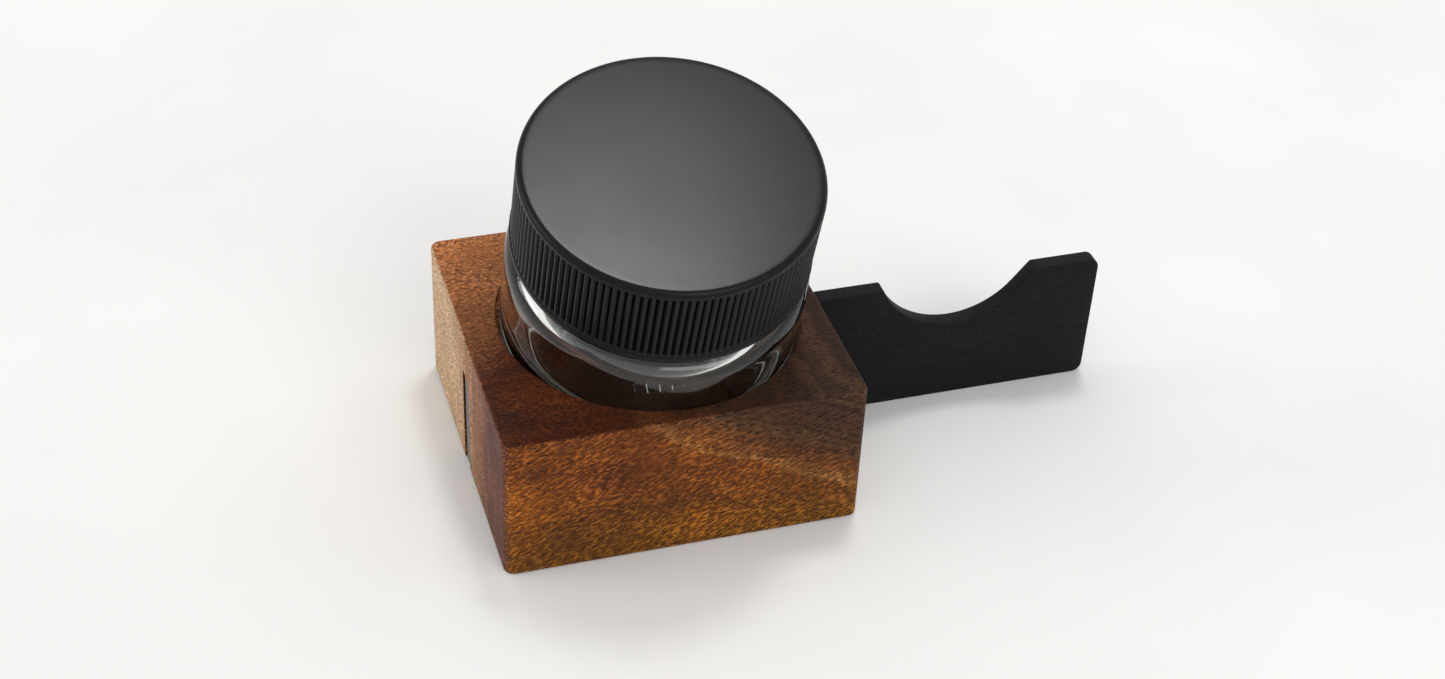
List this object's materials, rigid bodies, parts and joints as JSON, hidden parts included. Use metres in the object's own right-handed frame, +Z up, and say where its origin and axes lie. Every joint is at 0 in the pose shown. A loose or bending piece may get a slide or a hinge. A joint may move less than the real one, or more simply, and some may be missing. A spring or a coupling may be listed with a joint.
{
  "type": "ink bottle",
  "caption": "Glass screw-top ink jar leaning towards the writer in a hardwood block, with a sliding notched pen rest.",
  "frame": {"origin": "middle of the holder block's underside, on the table", "axes": "+Z up, +X along the pen rest away from the block, -Y towards the writer, where the jar leans"},
  "size_m": [0.0965, 0.0534, 0.0583],
  "materials": {
    "walnut": "oiled",
    "black_stained_wood": "matte stain",
    "clear_glass": "polished",
    "black_phenolic": "satin moulded",
    "liner_foam": "matte"
  },
  "bodies": {
    "holder": {"holder_block": "walnut"},
    "pen_rest": {"pen_rest": "black_stained_wood"},
    "jar": {"jar": "clear_glass"},
    "liner": {"cap_liner": "liner_foam"},
    "cap": {"cap": "black_phenolic"}
  },
  "joints": [
    {"name": "pen_rest_slide", "type": "slide", "parent": "holder", "child": "pen_rest", "axis": [1, 0, 0], "range_m": [0, 0.052]},
    {"name": "jar_lift", "type": "slide", "parent": "holder", "child": "jar", "axis": [0, -0.2957, 0.9553], "range_m": [0, 0.03]},
    {"name": "cap_lift", "type": "slide", "parent": "jar", "child": "liner", "axis": [0, -0.2957, 0.9553], "range_m": [0, 0.0149]},
    {"name": "cap_turn", "type": "hinge", "parent": "liner", "child": "cap", "pos_m": [0.001, -0.0001, 0.0227], "axis": [0, -0.2957, 0.9553], "range_deg": [0, 1260]}
  ],
  "couplings": [
    {"joint": "cap_lift", "follows": "cap_turn", "m_per_rad": 0.00067376}
  ]
}
